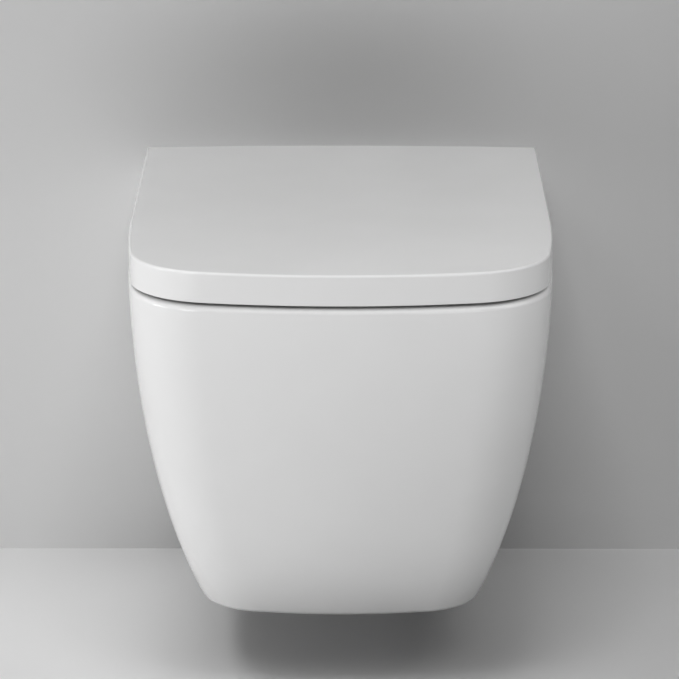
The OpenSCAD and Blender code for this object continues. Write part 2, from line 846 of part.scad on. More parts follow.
module lid_hinge(side, bore_r) {
    color("dimgray") difference() {
        union() {
            on_axis(side, barrel_r, eye_in - barrel_end - barrel_l, eye_in - barrel_end);
            translate([side * lid_arm_mid - arm_w / 2, axis_y - lid_arm_l, lid_arm_z])
                cube([arm_w, lid_arm_l - 3, lid_arm_t]);
        }
        on_axis(side, bore_r, eye_in - barrel_end - barrel_l + 3, eye_in - barrel_end + past);
        for (y = lid_screws)
            translate([side * lid_arm_mid, -y, lid_arm_z - past])
                cylinder(r = screw_r + 0.2, h = lid_arm_t + 2 * past);
    }
}

module lid_hinge_left() lid_hinge(-1, pin_r + run_fit);
module lid_hinge_right() lid_hinge(1, damper_r + run_fit);

module lid_hinge_screws() {
    color("silver") for (side = [-1, 1]) for (y = lid_screws)
        translate([side * lid_arm_mid, -y, lid_arm_z - 1.5]) difference() {
            union() {
                cylinder(r = screw_r + 1.8, h = 1.5);
                cylinder(r = screw_r, h = lid_arm_t + 1.5);
            }
            translate([0, 0, -past])
                cylinder(r = 1.2, h = 1.8, $fn = 6);
        }
}

module lid_damper() damper(1, eye_in - 2, eye_in - 2 - damper_l);

pan_skirt();
pan_rim();
pan_bowl();
pan_trap();
pan_inlet();
pan_horn();
flush_distributor();
inlet_seal();
fixing_block_left();
fixing_block_right();
clamp_screws();
side_cap_left();
side_cap_right();
hinge_rosette_left();
hinge_rosette_right();
hinge_post_left();
hinge_post_right();
hinge_bolts();
expansion_plugs();
plug_nuts();
lid_pivot_pin();
seat_pivot_pin();
seat_damper_shaft();
lid_damper_shaft();
seat();
seat_buffers();
seat_hinge_left();
seat_hinge_right();
seat_hinge_screws();
seat_damper();
lid();
lid_buffers();
lid_hinge_left();
lid_hinge_right();
lid_hinge_screws();
lid_damper();
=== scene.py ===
import json
from math import atan2, cos, pi, radians, sin, sqrt

import bmesh
import bpy
from mathutils import Matrix, Vector


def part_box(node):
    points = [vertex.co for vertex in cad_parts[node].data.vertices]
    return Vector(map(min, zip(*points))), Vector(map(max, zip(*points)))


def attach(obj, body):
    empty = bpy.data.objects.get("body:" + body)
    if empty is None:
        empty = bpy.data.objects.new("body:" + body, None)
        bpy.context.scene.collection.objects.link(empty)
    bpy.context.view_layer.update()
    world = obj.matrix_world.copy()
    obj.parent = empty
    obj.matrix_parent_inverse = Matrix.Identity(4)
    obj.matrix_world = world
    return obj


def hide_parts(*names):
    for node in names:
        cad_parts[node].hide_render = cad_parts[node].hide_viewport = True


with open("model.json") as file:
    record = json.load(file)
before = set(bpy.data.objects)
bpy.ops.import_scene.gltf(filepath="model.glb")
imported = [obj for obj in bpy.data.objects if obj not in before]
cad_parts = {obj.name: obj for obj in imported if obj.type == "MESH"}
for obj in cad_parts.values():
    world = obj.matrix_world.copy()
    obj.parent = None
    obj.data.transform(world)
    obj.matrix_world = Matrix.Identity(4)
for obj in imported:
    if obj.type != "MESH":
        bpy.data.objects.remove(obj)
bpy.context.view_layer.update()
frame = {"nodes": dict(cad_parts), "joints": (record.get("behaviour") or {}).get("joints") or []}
nodes = frame["nodes"]

# ---- Pan ----
# One casting of vitreous china: the skirt, the rim with its deck, the bowl, the trap and the horn
# come out of one plaster mould. It is sprayed with white glaze and fired, all but the back edge
# that bears on the wall. Two wall studs behind the side holes carry it.
mm = 0.001
rim_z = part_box("pan_rim")[1].z
pan_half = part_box("pan_rim")[1].x
pan_reach = -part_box("pan_rim")[0].y
foot_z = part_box("pan_skirt")[0].z
foot_half = 128 * mm
foot_reach = 343 * mm
rim_edge_r = 5 * mm
foot_edge_r = 9 * mm
china_t = 11 * mm
deck_t = 16 * mm
deck_z = rim_z - deck_t
lid_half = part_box("lid")[1].x
side_taper = 1.66  # powers of the curves along which the skirt's sides and front draw in
front_taper = 2.29
past = 1 * mm  # how far a cut reaches beyond the surface that it opens
overlap = 4 * mm  # how far forms that become one reach into each other
crease = radians(32)  # edges that turn by more than this stay sharp

# radii of the plan outline, and where its sides start to curve, measured back from the front
front_r = 615 * mm
corner_r = 78 * mm
side_r = 1100 * mm
side_start = 190 * mm


def arc(centre, radius, start, end, steps):
    """Points of an arc in plan, from start up to but not including end."""
    angles = [start + (end - start) * i / steps for i in range(steps)]
    return [centre + radius * Vector((cos(a), sin(a))) for a in angles]


def line(start, end, steps):
    """Points of a straight run, from start up to but not including end."""
    return [start.lerp(end, i / steps) for i in range(steps)]


def half_outline(half, reach, steps):
    """Right half of the plan, from the middle of the front to where the side is straight."""
    k = half / lid_half
    front = Vector((0, front_r * k - reach))
    side = Vector((half - side_r * k, side_start * k - reach))
    apart = side - front
    d = apart.length
    d1, d3 = (front_r - corner_r) * k, (side_r - corner_r) * k
    t = (d1 * d1 - d3 * d3 + d * d) / (2 * d)
    along = apart / d
    corner = front + along * t + Vector((-along.y, along.x)) * sqrt(d1 * d1 - t * t)
    a1 = atan2(corner.y - front.y, corner.x - front.x)
    a2 = atan2(corner.y - side.y, corner.x - side.x)
    return (arc(front, front_r * k, -pi / 2, a1, steps)
            + arc(corner, corner_r * k, a1, a2, 2 * steps)
            + arc(side, side_r * k, a2, 0, steps)
            + [Vector((half, side_start * k - reach))])


def mirrored(right):
    """A whole outline from its right half, which starts on the middle line."""
    return [Vector((-p.x, p.y)) for p in right[:0:-1]] + right


def loft(rings):
    """Closed form through rings of the same number of points, from the lowest ring up."""
    form = bmesh.new()
    place = form.verts.layers.int.new("place")
    first = bmesh.ops.create_circle(form, segments=len(rings[0]), radius=1)["verts"]
    for number, vert in enumerate(first):
        vert[place] = number
        vert.co = rings[0][number]
    edges = list(form.edges)
    for ring in rings[1:]:
        made = bmesh.ops.extrude_edge_only(form, edges=edges)["geom"]
        edges = [part for part in made if isinstance(part, bmesh.types.BMEdge)]
        for vert in (part for part in made if isinstance(part, bmesh.types.BMVert)):
            vert.co = ring[vert[place]]
    bmesh.ops.holes_fill(form, edges=[e for e in form.edges if e.is_boundary], sides=0)
    bmesh.ops.recalc_face_normals(form, faces=form.faces)
    return form


def lift(plan, z):
    """A plan outline as a ring at a height."""
    return [Vector((p.x, p.y, z)) for p in plan]


def bar(radius, start, end, segments=64):
    """Round bar between two points."""
    form = bmesh.new()
    way = Vector(end) - Vector(start)
    turn = way.to_track_quat("Z", "Y").to_matrix().to_4x4()
    bmesh.ops.create_cone(form, cap_ends=True, segments=segments, radius1=radius, radius2=radius,
                          depth=way.length,
                          matrix=Matrix.Translation((Vector(start) + Vector(end)) / 2) @ turn)
    return form


def block(low, high):
    """Square block between its lowest and highest corners."""
    low, high = Vector(low), Vector(high)
    form = bmesh.new()
    bmesh.ops.create_cube(form, size=1, matrix=Matrix.Translation((low + high) / 2)
                          @ Matrix.Diagonal((*(high - low), 1)))
    return form


def new_piece(name, form):
    """An object at the origin that holds a form."""
    shape = bpy.data.meshes.new(name)
    form.to_mesh(shape)
    form.free()
    piece = bpy.data.objects.new(name, shape)
    bpy.context.scene.collection.objects.link(piece)
    return piece


def join(piece, form, operation):
    """Unites a piece with a form, or takes the form out of it."""
    other = new_piece("other", form)
    step = piece.modifiers.new("join", "BOOLEAN")
    step.operation = operation
    step.solver = "MANIFOLD"
    step.object = other
    graph = bpy.context.evaluated_depsgraph_get()
    shape = bpy.data.meshes.new_from_object(piece.evaluated_get(graph))
    piece.modifiers.clear()
    old = piece.data
    piece.data = shape
    bpy.data.meshes.remove(old)
    bpy.data.meshes.remove(other.data)


def shade(piece, sharp_angle):
    """Smooth shading that keeps edges sharper than an angle, and flat faces flat."""
    form = bmesh.new()
    form.from_mesh(piece.data)
    bmesh.ops.remove_doubles(form, verts=form.verts, dist=0.005 * mm)
    for face in form.faces:
        face.smooth = True
    for edge in form.edges:
        edge.smooth = edge.calc_face_angle(0) < sharp_angle
    form.to_mesh(piece.data)
    form.free()
    normals = piece.modifiers.new("normals", "WEIGHTED_NORMAL")
    normals.keep_sharp = True


def skirt_plan(z, inset, back):
    """Plan of the skirt at a height, drawn in by inset. It tapers slowly at first, then faster."""
    depth = (rim_z - z) / (rim_z - foot_z)
    half = pan_half - (pan_half - foot_half) * depth ** side_taper - inset
    reach = pan_reach - (pan_reach - foot_reach) * depth ** front_taper - inset
    right = half_outline(half, reach, 10)
    corner = Vector((half, back))
    return mirrored(right[:-1] + line(right[-1], corner, 10) + [corner])


def rounding(radius, start, end, steps):
    """(drawn in, risen) along a quarter round, for angles from start to end in degrees."""
    angles = [radians(start + (end - start) * i / steps) for i in range(steps + 1)]
    return [(radius * (1 - cos(a)), radius * sin(a)) for a in angles]


def levels(low, high, steps):
    """Heights between two ends, without the ends."""
    return [low + (high - low) * i / steps for i in range(1, steps)]


skirt_rings = [lift(skirt_plan(foot_z + foot_edge_r - rise, inset, 0), foot_z + foot_edge_r - rise)
               for inset, rise in reversed(rounding(foot_edge_r, 0, 90, 8))]
skirt_rings += [lift(skirt_plan(z, 0, 0), z)
                for z in levels(foot_z + foot_edge_r, rim_z - rim_edge_r, 44)]
skirt_rings += [lift(skirt_plan(rim_z - rim_edge_r + rise, inset, 0), rim_z - rim_edge_r + rise)
                for inset, rise in rounding(rim_edge_r, 0, 90, 8)]
pan = new_piece("pan_china", loft(skirt_rings))

# the hollow behind the skirt, open through the back, with soft corners against deck and floor
hollow_r = 8 * mm
hollow_low = foot_z + china_t
hollow = [lift(skirt_plan(hollow_low + hollow_r - rise, china_t + inset, past),
               hollow_low + hollow_r - rise)
          for inset, rise in reversed(rounding(hollow_r, 0, 80, 5))]
hollow += [lift(skirt_plan(z, china_t, past), z)
           for z in levels(hollow_low + hollow_r, deck_z - hollow_r, 30)]
hollow += [lift(skirt_plan(deck_z - hollow_r + rise, china_t + inset, past),
                deck_z - hollow_r + rise)
           for inset, rise in rounding(hollow_r, 0, 80, 5)]
join(pan, loft(hollow), "DIFFERENCE")

# bowl: height, half width, front and back of each station, from the sump up to the mouth
mouth_half = 137 * mm
mouth_front = 45 * mm - pan_reach
mouth_back = mouth_front + 330 * mm
bowl_bluntness = 2.3  # 2 would be an ellipse
# the sump's dished floor: share of the lowest station's width, and how far below that station
sump_floor = [(0.2, 4.5 * mm), (0.45, 4 * mm), (0.7, 3 * mm), (0.88, 1.5 * mm)]
bowl_stations = [
    (-232 * mm, 24 * mm, -276 * mm, -238 * mm),
    (-224 * mm, 36 * mm, -294 * mm, -226 * mm),
    (-192 * mm, 46 * mm, -314 * mm, -215 * mm),
    (-170 * mm, 53 * mm, -332 * mm, -209 * mm),
    (-128 * mm, 66 * mm, -358 * mm, -203 * mm),
    (-94 * mm, 84 * mm, -394 * mm, -196 * mm),
    (-52 * mm, 104 * mm, -433 * mm, -186 * mm),
    (-8 * mm, 119 * mm, -466 * mm, -175 * mm),
    (rim_z - 44 * mm, mouth_half - 6 * mm, mouth_front + 7 * mm, mouth_back - 2 * mm),
    (rim_z - 38 * mm, mouth_half + 3 * mm, mouth_front - 5 * mm, mouth_back + 4 * mm),
    (rim_z - 20 * mm, mouth_half + 4 * mm, mouth_front - 6 * mm, mouth_back + 5 * mm),
    (rim_z - 8 * mm, mouth_half, mouth_front, mouth_back)]
lip_r = 6 * mm


def eased(stations, steps):
    """More stations between the given ones, on curves that don't swing past them."""
    count = len(stations)
    rise = [[(b - a) / (stations[i + 1][0] - stations[i][0]) for a, b in
             zip(stations[i], stations[i + 1])] for i in range(count - 1)]
    slope = [rise[0]]
    for before, after in zip(rise, rise[1:]):
        slope.append([0 if a * b <= 0 else 2 * a * b / (a + b) for a, b in zip(before, after)])
    slope.append(rise[-1])
    made = []
    for i in range(count - 1):
        span = stations[i + 1][0] - stations[i][0]
        for step in range(steps):
            s = step / steps
            made.append([a * (1 + 2 * s) * (1 - s) ** 2 + b * s * s * (3 - 2 * s)
                         + span * (ma * s * (1 - s) ** 2 - mb * s * s * (1 - s))
                         for a, b, ma, mb in zip(stations[i], stations[i + 1],
                                                 slope[i], slope[i + 1])])
    return made + [list(stations[-1])]


def oval(half, front, back, points=96):
    """Plan between a front and a back, a little blunter than an ellipse."""
    made = []
    for i in range(points):
        c, s = cos(2 * pi * i / points), sin(2 * pi * i / points)
        made.append(Vector((half * abs(c) ** (2 / bowl_bluntness) * (1 if c > 0 else -1),
                            (front + back) / 2
                            + (back - front) / 2 * abs(s) ** (2 / bowl_bluntness)
                            * (1 if s > 0 else -1))))
    return made


def bowl(grow, top):
    """The bowl's surface moved outwards by grow, up to the rings of top (height, widened)."""
    z, half, front, back = bowl_stations[0]
    rings = [lift(oval(half * k, (front + back) / 2 - (back - front) / 2 * k,
                       (front + back) / 2 + (back - front) / 2 * k), z - grow - sink)
             for k, sink in sump_floor]
    for z, half, front, back in eased(bowl_stations, 5):
        rings.append(lift(oval(half + grow, front - grow, back + grow), z))
    for z, wider in top:
        rings.append(lift(oval(mouth_half + grow + wider, mouth_front - grow - wider,
                               mouth_back + grow + wider), z))
    return loft(rings)


join(pan, bowl(china_t, [(deck_z + overlap, 0), (deck_z + 2 * overlap, 0)]), "UNION")

# trap: distance from the wall, height and radius, from the sump over the weir into the horn
outlet_z = (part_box("pan_horn")[0].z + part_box("pan_horn")[1].z) / 2
horn_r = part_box("pan_horn")[1].x
horn_bore_r = 42 * mm
trap_t = 8 * mm
horn_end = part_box("pan_horn")[1].y
horn_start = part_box("pan_horn")[0].y
trap_stations = [
    (264, -205, 27), (236, -205, 27), (212, -202, 27), (193, -193, 27), (178, -178, 27),
    (167, -159, 27), (156, -137, 27), (145, -117, 27), (129, -103, 27), (112, -100, 31),
    (92, -100, 38), (70, -100, 41)]


def spline(points, steps):
    """More points between the given ones, on a smooth curve through them all."""
    made = []
    for i in range(len(points) - 1):
        a, b = points[max(0, i - 1)], points[i]
        c, d = points[i + 1], points[min(len(points) - 1, i + 2)]
        for step in range(steps):
            s = step / steps
            made.append(b + (c - a) * s / 2 + (2 * a - 5 * b + 4 * c - d) * s * s / 2
                        + (3 * b - a - 3 * c + d) * s ** 3 / 2)
    return made + [points[-1]]


def trap(grow, end, end_r):
    """The trap's tube, its radius grown by grow, carried straight on to end."""
    way = spline([Vector((-far * mm, high * mm, r * mm)) for far, high, r in trap_stations], 4)
    way = [p + Vector((0, 0, grow)) for p in way] + [Vector((end, outlet_z, end_r))]
    rings = []
    for i, p in enumerate(way):
        along = way[min(len(way) - 1, i + 1)].xy - way[max(0, i - 1)].xy
        along.normalize()
        turns = [2 * pi * j / 48 for j in range(48)]
        rings.append([Vector((p.z * cos(a), p.x + p.z * sin(a) * along.y,
                              p.y - p.z * sin(a) * along.x)) for a in turns])
    return loft(rings)


join(pan, trap(trap_t, horn_start - 2 * mm, horn_r - 1 * mm), "UNION")
join(pan, bar(horn_r, (0, horn_start - overlap, outlet_z), (0, horn_end, outlet_z), 96), "UNION")

# land along the wall, with the bosses of the flush inlet and of the two wall fixings
land_t = 14 * mm
land_low = -36 * mm
land_rings = []
for z in [land_low] + levels(land_low, deck_z, 8) + [deck_z + overlap]:
    edge = skirt_plan(z, overlap, 0)[-1].x
    land_rings.append(lift([Vector((-edge, 0)), Vector((-edge, -land_t)),
                            Vector((edge, -land_t)), Vector((edge, 0))], z))
join(pan, loft(land_rings), "UNION")

inlet_z = (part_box("pan_inlet")[0].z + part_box("pan_inlet")[1].z) / 2
inlet_boss_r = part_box("pan_inlet")[1].x
inlet_r = 27.5 * mm
inlet_depth = -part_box("pan_inlet")[0].y
channel_r = 21 * mm
channel_t = 9 * mm
channel_end = mouth_back - 6 * mm
channel_bore_end = mouth_back - 18 * mm
fixing_x = (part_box("fixing_block_right")[0].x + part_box("fixing_block_right")[1].x) / 2
fixing_r = 14 * mm
fixing_boss_r = 23 * mm
fixing_boss_l = 58 * mm
fixing_depth = 52 * mm
hinge_x = (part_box("hinge_rosette_right")[0].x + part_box("hinge_rosette_right")[1].x) / 2
hinge_y = (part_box("hinge_rosette_right")[0].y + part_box("hinge_rosette_right")[1].y) / 2
hinge_hole_r = 7.5 * mm
hinge_boss_t = 7 * mm
hinge_boss_h = 8 * mm
clamp_y = (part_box("side_cap_right")[0].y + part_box("side_cap_right")[1].y) / 2
side_hole_r = 13 * mm
clamp_hole_r = 4.7 * mm
join(pan, bar(inlet_boss_r, (0, -past, inlet_z), (0, -inlet_depth, inlet_z)), "UNION")
join(pan, bar(channel_r + channel_t, (0, 0.5 * mm - inlet_depth, inlet_z),
              (0, channel_end, inlet_z)), "UNION")
for side in (-1, 1):
    join(pan, bar(fixing_boss_r, (side * fixing_x, -past, 0),
                  (side * fixing_x, -fixing_boss_l, 0)), "UNION")
    join(pan, bar(hinge_hole_r + hinge_boss_t,
                  (side * hinge_x, hinge_y, deck_z - hinge_boss_h),
                  (side * hinge_x, hinge_y, deck_z + overlap)), "UNION")

# the lip of the mouth is rounded, and the bowl, trap and holes are taken out last
lip = [(rim_z - lip_r + rise, inset) for inset, rise in rounding(lip_r, 0, 78, 7)]
join(pan, bowl(0, lip + [(rim_z + 2 * mm, lip[-1][1] + overlap)]), "DIFFERENCE")
join(pan, trap(0, horn_start + 10 * mm, horn_bore_r), "DIFFERENCE")
join(pan, bar(horn_bore_r, (0, horn_start - overlap, outlet_z), (0, past, outlet_z), 96),
     "DIFFERENCE")
join(pan, bar(inlet_r, (0, past, inlet_z), (0, -inlet_depth, inlet_z)), "DIFFERENCE")
join(pan, bar(channel_r, (0, past - inlet_depth, inlet_z), (0, channel_bore_end, inlet_z)),
     "DIFFERENCE")
for side in (-1, 1):
    join(pan, bar(fixing_r, (side * fixing_x, past, 0), (side * fixing_x, -fixing_depth, 0)),
         "DIFFERENCE")
    join(pan, bar(clamp_hole_r, (side * fixing_x, clamp_y, 0),
                  (side * (fixing_x + fixing_boss_r + past), clamp_y, 0)), "DIFFERENCE")
    join(pan, bar(side_hole_r, (side * (fixing_x + fixing_boss_r + overlap), clamp_y, 0),
                  (side * (pan_half + past), clamp_y, 0)), "DIFFERENCE")
    join(pan, bar(hinge_hole_r, (side * hinge_x, hinge_y, deck_z - hinge_boss_h - past),
                  (side * hinge_x, hinge_y, rim_z + past)), "DIFFERENCE")
shade(pan, crease)


def linear(hex_colour):
    """An sRGB hex colour as the linear colour that shaders take."""
    parts = [int(hex_colour[i:i + 2], 16) / 255 for i in (1, 3, 5)]
    return tuple(c / 12.92 if c <= 0.04045 else ((c + 0.055) / 1.055) ** 2.4
                 for c in parts) + (1,)


def add(tree, kind, inputs=None, **settings):
    """A shader node with its settings; each input takes a value or another node's output."""
    made = tree.nodes.new("ShaderNode" + kind)
    for name, value in settings.items():
        setattr(made, name, value)
    for name, value in (inputs or {}).items():
        if isinstance(value, bpy.types.NodeSocket):
            tree.links.new(value, made.inputs[name])
        else:
            made.inputs[name].default_value = value
    return made


def new_material(name):
    """An empty material, and its node tree."""
    made = bpy.data.materials.new(name)
    made.use_nodes = True
    made.node_tree.nodes.clear()
    return made, made.node_tree


# Glazed vitreous china: a glassy white coat a few tenths thick over a dense cream body. The glaze
# pulls into long shallow waves as it melts, so reflections are sharp but never quite straight,
# and it thins over the back edge, which is wiped clean before firing and stays matt.
glazed_china, tree = new_material("glazed_china")
place = add(tree, "TexCoord").outputs["Object"]
waves = add(tree, "TexNoise", {"Vector": place, "Scale": 1 / (46 * mm), "Detail": 1.5,
                               "Roughness": 0.4})
peel = add(tree, "TexNoise", {"Vector": place, "Scale": 1 / (7 * mm), "Detail": 1,
                              "Roughness": 0.5})
relief = add(tree, "Math", {0: peel.outputs["Fac"], 1: 0.06, 2: waves.outputs["Fac"]},
             operation="MULTIPLY_ADD")
glaze_bump = add(tree, "Bump", {"Height": relief.outputs[0], "Strength": 1.0,
                                "Distance": 0.05 * mm})
from_wall = add(tree, "SeparateXYZ", {"Vector": place}).outputs["Y"]
bare = add(tree, "MapRange", {"Value": from_wall, "From Min": -1.2 * mm, "From Max": -0.4 * mm})
tint = add(tree, "Mix", {"Factor": waves.outputs["Fac"], "A": linear("#E8E8E8"),
                         "B": linear("#EBEBEB")}, data_type="RGBA")
colour = add(tree, "Mix", {"Factor": bare.outputs[0], "A": tint.outputs["Result"],
                           "B": linear("#E2DDD2")}, data_type="RGBA")
polish = add(tree, "MapRange", {"Value": bare.outputs[0], "To Min": 0.14, "To Max": 0.75})
glaze = add(tree, "BsdfPrincipled", {"Base Color": colour.outputs["Result"], "IOR": 1.52,
                                     "Roughness": polish.outputs[0],
                                     "Normal": glaze_bump.outputs["Normal"]})
add(tree, "OutputMaterial", {"Surface": glaze.outputs["BSDF"]})

pan.data.materials.clear()
pan.data.materials.append(glazed_china)
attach(pan, "pan_body")
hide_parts("pan_skirt", "pan_rim", "pan_bowl", "pan_trap", "pan_inlet", "pan_horn")

# ---- Lid ----
# A deep wrap-over lid, pressed from white urea resin in a polished steel mould and left as it
# comes. Its skirt drops over the seat to just above the rim, its top is crowned a little, and
# its back edge is round about the hinge axis, so that it can turn against the wall.
lid_reach = -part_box("lid")[0].y
lid_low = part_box("lid")[0].z
lid_crown = 2 * mm
lid_edge_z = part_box("lid")[1].z - lid_crown
lid_t = 4.5 * mm
lid_edge_r = 2.2 * mm
lid_foot_r = 0.8 * mm
spine_r = 7.7 * mm
spine_t = 2 * mm
axis_y = frame["joints"][0]["pos_m"][1]
axis_z = frame["joints"][0]["pos_m"][2]
lid_under_z = lid_edge_z - lid_t
crown_run = lid_half - 4 * mm
spine_angles = (-12, 0, 12, 22, 32, 40)  # degrees, of the level lines round the spine
# shares of the way from the side to the middle, of the level lines on the crowned top
top_shares = (0.03, 0.06, 0.1, 0.16, 0.24, 0.34, 0.45, 0.57, 0.7, 0.82, 0.92, 0.97)

# the skirt's back edge leans out from its foot until it meets the round of the spine
lean = spine_r / (axis_z - lid_low)
meet_z = axis_z - spine_r * lean


def crown(inset):
    """Rise of the lid's top at a distance in from its edge."""
    return lid_crown * (1 - (1 - min(inset, crown_run) / crown_run) ** 2)


def spine(x, z):
    """Where the back of the lid lies at a height, as far along as x."""
    if z < meet_z:
        return axis_y + (z - lid_low) * lean / sqrt(1 - lean * lean)
    tall = spine_r + crown(lid_half - abs(x)) if z > axis_z else spine_r
    return axis_y + spine_r * sqrt(max(0, 1 - ((z - axis_z) / tall) ** 2))


def lid_ring(inset, z):
    """Level line of the lid's outside at a height, drawn in by inset at the sides and front."""
    half = lid_half - inset
    right = half_outline(half, lid_reach - inset, 12)
    corner = Vector((half, spine(half, z)))
    back = [Vector((half * (1 - i / 14), 0)) for i in range(15)]
    right = right[:-1] + line(right[-1], corner, 12) + [Vector((p.x, spine(p.x, z))) for p in back]
    return lift(mirrored(right)[:-1], z)


lid_rings = [lid_ring(inset, lid_low + lid_foot_r - rise)
             for inset, rise in reversed(rounding(lid_foot_r, 0, 90, 3))]
lid_rings += [lid_ring(0, z) for z in levels(lid_low + lid_foot_r, meet_z, 5) + [meet_z]]
side_top = lid_edge_z - lid_edge_r
lid_rings += [lid_ring(0, axis_z + spine_r * sin(radians(a))) for a in spine_angles]
lid_rings += [lid_ring(inset, side_top + rise) for inset, rise in rounding(lid_edge_r, 0, 90, 8)]
lid_rings += [lid_ring(t * lid_half, lid_edge_z + crown(t * lid_half)) for t in top_shares]
lid = new_piece("lid_shell", loft(lid_rings))

# the inside, hollow under the seat's space and round under the spine, and open at the back
inner_half = lid_half - lid_t
inner_r = 5 * mm
back_open_z = axis_z - 1.5 * mm
eye_half = 6.2 * mm  # half the width of the slots that clear the posts' eyes


def lid_inner(inset, z):
    """Level line of the lid's inside at a height, drawn in by inset."""
    right = half_outline(inner_half - inset, lid_reach - lid_t - inset, 12)
    corner = Vector((inner_half - inset, axis_y))
    return lift(mirrored(right[:-1] + line(right[-1], corner, 8) + [corner]), z)


inside = [lid_inner(0, z) for z in (lid_low - past, lid_low + 6 * mm, lid_under_z - inner_r)]
inside += [lid_inner(inset, lid_under_z - inner_r + rise)
           for inset, rise in rounding(inner_r, 0, 90, 6)[1:]]
join(lid, loft(inside), "DIFFERENCE")
join(lid, bar(spine_r - spine_t, (-inner_half, axis_y, axis_z), (inner_half, axis_y, axis_z), 96),
     "DIFFERENCE")
join(lid, block((-inner_half, axis_y - past, lid_low - past),
                (inner_half, axis_y + spine_r + past, back_open_z)), "DIFFERENCE")
for side in (-1, 1):
    join(lid, block((side * hinge_x - eye_half, axis_y + 0.2 * mm, lid_low),
                    (side * hinge_x + eye_half, axis_y + spine_r + past, lid_edge_z + 5 * mm)),
         "DIFFERENCE")
shade(lid, crease)

# White urea resin: a hard pressed plastic, as white and as glossy as the china. The mould leaves
# it almost flat, with a faint flow in the gloss and none of the glaze's waves.
white_seat_resin, tree = new_material("white_seat_resin")
place = add(tree, "TexCoord").outputs["Object"]
flow = add(tree, "TexNoise", {"Vector": place, "Scale": 1 / (80 * mm), "Detail": 2,
                              "Roughness": 0.5})
gloss = add(tree, "MapRange", {"Value": flow.outputs["Fac"], "From Min": 0.3, "From Max": 0.7,
                               "To Min": 0.13, "To Max": 0.18})
tint = add(tree, "Mix", {"Factor": flow.outputs["Fac"], "A": linear("#E8E8E8"),
                         "B": linear("#EAEAEA")}, data_type="RGBA")
press_bump = add(tree, "Bump", {"Height": flow.outputs["Fac"], "Strength": 1.0,
                                "Distance": 0.025 * mm})
resin = add(tree, "BsdfPrincipled", {"Base Color": tint.outputs["Result"], "IOR": 1.55,
                                     "Roughness": gloss.outputs[0],
                                     "Normal": press_bump.outputs["Normal"]})
add(tree, "OutputMaterial", {"Surface": resin.outputs["BSDF"]})

lid.data.materials.clear()
lid.data.materials.append(white_seat_resin)
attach(lid, "lid_body")
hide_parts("lid")

# ---- Seat ----
# The seat ring, pressed from the same resin as the lid and hollow underneath. Its section is
# rounded at the outside, flat on top and falls away into the opening, and its back lip is
# notched for the two hinge arms.
seat_low, seat_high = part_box("seat")
seat_half = seat_high.x
seat_reach = -seat_low.y
seat_back_y = seat_high.y
seat_t = seat_high.z - seat_low.z
seat_hollow = 7 * mm
seat_corner = 14 * mm
open_half = 111 * mm
open_half_l = 135 * mm
open_front = 78 * mm
open_mid = Vector((0, open_front - pan_reach + open_half_l))
open_power = 0.87  # 1 would be an ellipse

right = half_outline(seat_half, seat_reach, 12)
corner = Vector((seat_half - seat_corner, seat_back_y - seat_corner))
right = (right[:-1] + line(right[-1], corner + Vector((seat_corner, 0)), 12)
         + arc(corner, seat_corner, 0, pi / 2, 8)
         + line(corner + Vector((0, seat_corner)), Vector((0, seat_back_y)), 10))
seat_edge = mirrored(right + [Vector((0, seat_back_y))])[:-1]


def facing(p):
    """Point of the opening that lies in the direction of a point of the outer edge."""
    a = atan2((p.y - open_mid.y) / open_half_l, p.x / open_half)
    return Vector((open_half * abs(cos(a)) ** open_power * (1 if cos(a) > 0 else -1),
                   open_mid.y + open_half_l * abs(sin(a)) ** open_power
                   * (1 if sin(a) > 0 else -1)))


def rounded(corners, steps):
    """Closed path through corners (place, height, how far from the corner its round starts)."""
    path = []
    for number, (x, z, reach) in enumerate(corners):
        here = Vector((x, z))
        before = (Vector(corners[number - 1][:2]) - here).normalized() * reach
        after = (Vector(corners[(number + 1) % len(corners)][:2]) - here).normalized() * reach
        for step in range(steps + 1):
            s = step / steps
            path.append(here + before * (1 - s) ** 2 + after * s * s)
    return path


def seat_section(p):
    """Section of the ring at a point of its outer edge, as points in space."""
    inwards = facing(p) - p
    width = inwards.length
    corners = [
        (0, 0, 1.6 * mm), (0, seat_t, 4 * mm), (width - 14 * mm, seat_t - 0.2 * mm, 10 * mm),
        (width - 0.6 * mm, seat_t - 5 * mm, 4 * mm), (width - 0.4 * mm, 0, 2 * mm),
        (width - 8 * mm, 0, 0.7 * mm), (width - 9 * mm, seat_hollow, 2 * mm),
        (9 * mm, seat_hollow, 2 * mm), (8 * mm, 0, 0.7 * mm)]
    return [Vector((*(p + inwards / width * q.x), seat_low.z + q.y)) for q in rounded(corners, 4)]


seat_form = loft([seat_section(p) for p in seat_edge])
ends = [face for face in seat_form.faces if len(face.verts) > 4]
rims = [edge for face in ends for edge in face.edges]
bmesh.ops.delete(seat_form, geom=ends, context="FACES_ONLY")
bmesh.ops.bridge_loops(seat_form, edges=rims)
bmesh.ops.recalc_face_normals(seat_form, faces=seat_form.faces)
seat = new_piece("seat_ring", seat_form)
notch_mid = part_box("seat_hinge_screws")[1].x - 3.8 * mm  # 0.2 mm outside the arm's middle
notch_half = 18 * mm
notch_depth = 12 * mm
for side in (-1, 1):
    notch_x = side * notch_mid
    join(seat, block((notch_x - notch_half, seat_back_y - notch_depth, seat_low.z - past),
                     (notch_x + notch_half, seat_back_y + past, seat_low.z + seat_hollow)),
         "DIFFERENCE")
shade(seat, crease)
seat.data.materials.clear()
seat.data.materials.append(white_seat_resin)
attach(seat, "seat_body")
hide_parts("seat")

